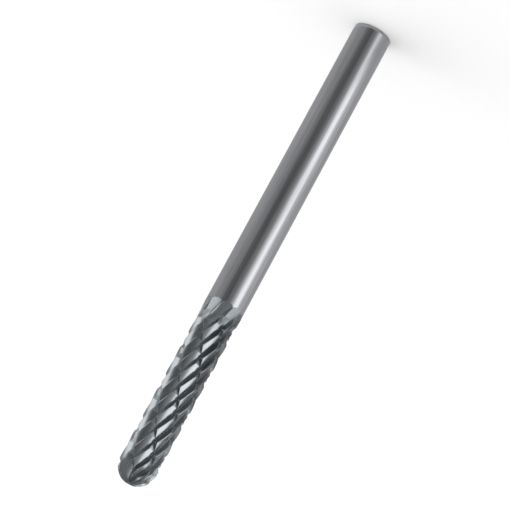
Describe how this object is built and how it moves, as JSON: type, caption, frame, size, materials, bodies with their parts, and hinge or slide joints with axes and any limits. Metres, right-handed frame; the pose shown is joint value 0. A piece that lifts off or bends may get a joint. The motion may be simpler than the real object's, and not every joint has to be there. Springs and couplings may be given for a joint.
{
  "type": "carbide burr",
  "caption": "Solid carbide burr: a slim ball-nosed cylinder head with double-cut teeth, ground on a plain round shank of the same diameter.",
  "frame": {"origin": "centre of the flat end face of the shank, which the burr stands on", "axes": "+Z along the axis of rotation, from the shank's end to the pole of the ball nose"},
  "size_m": [0.003, 0.003, 0.04],
  "materials": {
    "ground_carbide": "fine ground, bright on the shank and satin grey in the flutes"
  },
  "bodies": {
    "root": {"carbide_burr": "ground_carbide"}
  },
  "joints": []
}
